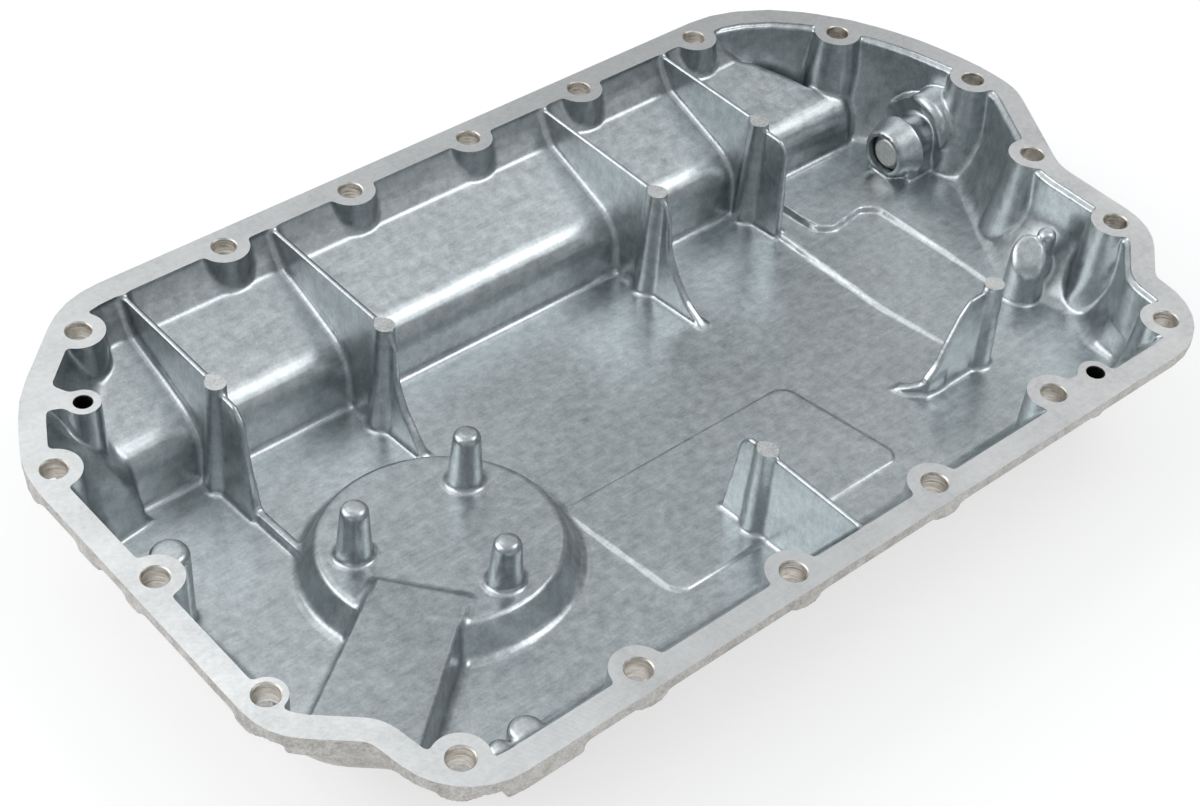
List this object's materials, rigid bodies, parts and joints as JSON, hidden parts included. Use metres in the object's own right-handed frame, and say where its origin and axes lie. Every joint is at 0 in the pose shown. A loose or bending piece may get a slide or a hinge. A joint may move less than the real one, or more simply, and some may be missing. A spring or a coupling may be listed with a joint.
{
  "type": "engine oil pan",
  "caption": "Shallow die-cast aluminium engine oil pan with a machined bolt flange, stepped floor, ribs, round pegged seat and side drain plug.",
  "frame": {"origin": "on the plane of the feet, under the middle of the flange outline", "axes": "+Z out of the open side towards the sealing face; +X along the pan towards the drain plug; +Y towards the long wall with the raised shelf"},
  "size_m": [0.341, 0.203, 0.044],
  "materials": {
    "cast_aluminium": "as die cast and tumbled, grey; sealing face finely machined and brighter",
    "plug_steel": "zinc plated, satin",
    "washer_aluminium": "plain, satin"
  },
  "bodies": {
    "root": {"pan_casting": "cast_aluminium", "drain_plug": "plug_steel", "plug_washer": "washer_aluminium"}
  },
  "joints": []
}
